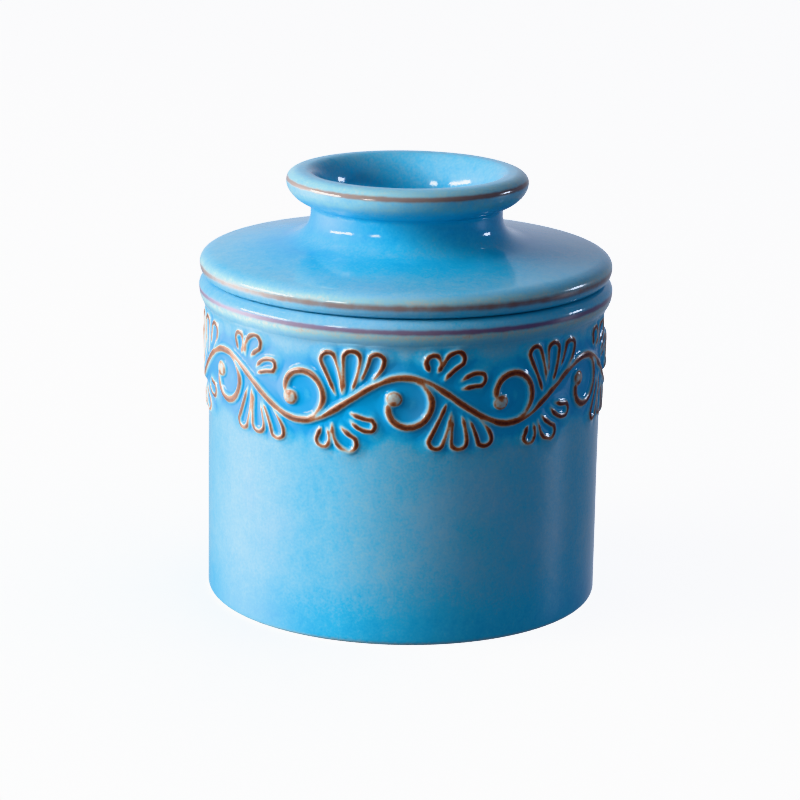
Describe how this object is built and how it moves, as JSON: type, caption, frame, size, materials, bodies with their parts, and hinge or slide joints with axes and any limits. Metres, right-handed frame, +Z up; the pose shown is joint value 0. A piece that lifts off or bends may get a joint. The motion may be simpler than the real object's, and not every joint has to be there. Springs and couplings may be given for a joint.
{
  "type": "butter crock",
  "caption": "Round glazed stoneware crock with a water-sealed bell lid: a flared hollow knob, a lid disc and a butter cup hanging inside the crock.",
  "frame": {"origin": "centre of the flat foot ring, on the surface that the crock stands on", "axes": "+Z up along the axis of the turned pieces; -Y is the side shown to the front; the pieces are round, so X and Y are otherwise free"},
  "size_m": [0.108, 0.108, 0.1126],
  "materials": {
    "crock_glaze": "glossy mottled blue glaze that breaks to brown on the raised edges",
    "bell_lid_glaze": "glossy mottled blue glaze that breaks to brown on the rims"
  },
  "bodies": {
    "crock": {"crock": "crock_glaze"},
    "bell_lid": {"bell_lid": "bell_lid_glaze"}
  },
  "joints": [
    {"name": "lid_lift", "type": "slide", "parent": "crock", "child": "bell_lid", "axis": [0, 0, 1], "range_m": [0, 0.075]}
  ]
}
